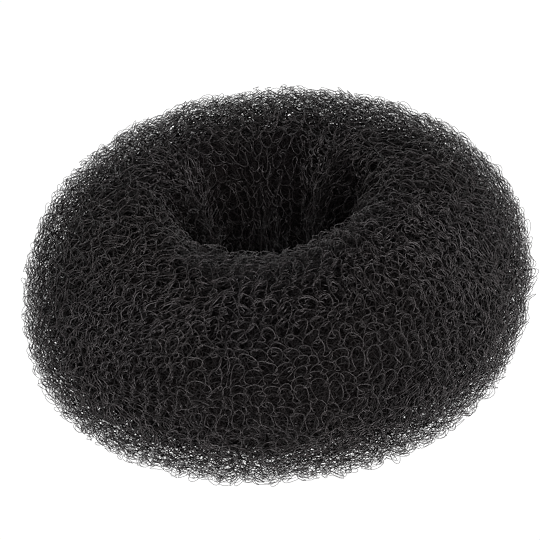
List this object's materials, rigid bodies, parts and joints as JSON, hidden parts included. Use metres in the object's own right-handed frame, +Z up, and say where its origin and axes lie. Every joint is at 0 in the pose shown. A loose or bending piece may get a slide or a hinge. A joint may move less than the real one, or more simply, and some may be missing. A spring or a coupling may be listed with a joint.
{
  "type": "hair donut bun maker",
  "caption": "Soft black ring of springy open knit, a sleeve rolled on itself around a funnel-shaped hole. A ponytail goes through the hole and wraps over the ring into a bun.",
  "frame": {"origin": "middle of the footprint, on the resting face", "axes": "+Z up through the hole, away from the resting face; -Y towards the side that the picture shows in front; +X to the right there"},
  "size_m": [0.094, 0.094, 0.042],
  "materials": {
    "mesh": "satin"
  },
  "bodies": {
    "root": {"outer_turn": "mesh", "inner_turns": "mesh"}
  },
  "joints": []
}
